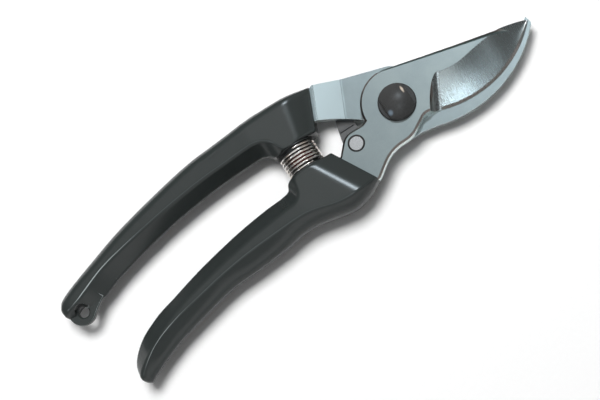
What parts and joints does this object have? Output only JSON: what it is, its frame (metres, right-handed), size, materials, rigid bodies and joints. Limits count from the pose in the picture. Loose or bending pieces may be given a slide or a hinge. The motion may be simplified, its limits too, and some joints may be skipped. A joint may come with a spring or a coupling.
{
  "type": "bypass pruner",
  "caption": "Hand pruner: a curved cutting blade swings past a hooked counter-blade on a domed bolt, with moulded grips, a coil spring between them and a catch.",
  "frame": {"origin": "under the middle of the whole tool as it lies on its back, at the level it rests on", "axes": "+X from the handles to the blade tip, +Y from the lower handle to the upper one, +Z out of the front face along the pivot bolt"},
  "size_m": [0.217, 0.0676, 0.018],
  "materials": {
    "satin_steel": "satin, finely brushed",
    "ground_steel": "fine matt grain, with a polished hollow grind",
    "grip_plastic": "glossy, dark green-black",
    "black_steel": "black oxide",
    "bush_bronze": "sintered bronze",
    "zinc_steel": "zinc plated",
    "nylon": "natural",
    "catch_plastic": "dark grey, semi-matt",
    "rivet_steel": "bright",
    "spring_steel": "drawn wire, warm",
    "seat_plastic": "black",
    "buffer_rubber": "dark red"
  },
  "bodies": {
    "hook_side": {"hook_plate": "satin_steel", "upper_grip": "grip_plastic", "pivot_bolt": "black_steel", "pivot_bush": "bush_bronze", "head_washer": "black_steel", "back_washer": "zinc_steel", "pivot_nut": "zinc_steel", "nut_insert": "nylon", "catch_keeper": "zinc_steel", "spring": "spring_steel", "spring_seat_upper": "seat_plastic"},
    "blade_side": {"cutting_blade": "ground_steel", "lower_grip": "grip_plastic", "catch_rivet": "rivet_steel", "catch_washer": "zinc_steel", "spring_seat_lower": "seat_plastic", "buffer": "buffer_rubber"},
    "catch": {"catch": "catch_plastic"}
  },
  "joints": [
    {"name": "main_pivot", "type": "hinge", "parent": "hook_side", "child": "blade_side", "pos_m": [0.04749, 0.00609, 0.0082], "axis": [0, 0, 1], "range_deg": [0, 28], "deforming": ["spring"]},
    {"name": "catch_pivot", "type": "hinge", "parent": "blade_side", "child": "catch", "pos_m": [0.02549, 0.0012, 0.0022], "axis": [0, 0, 1], "range_deg": [-10, 0]}
  ]
}
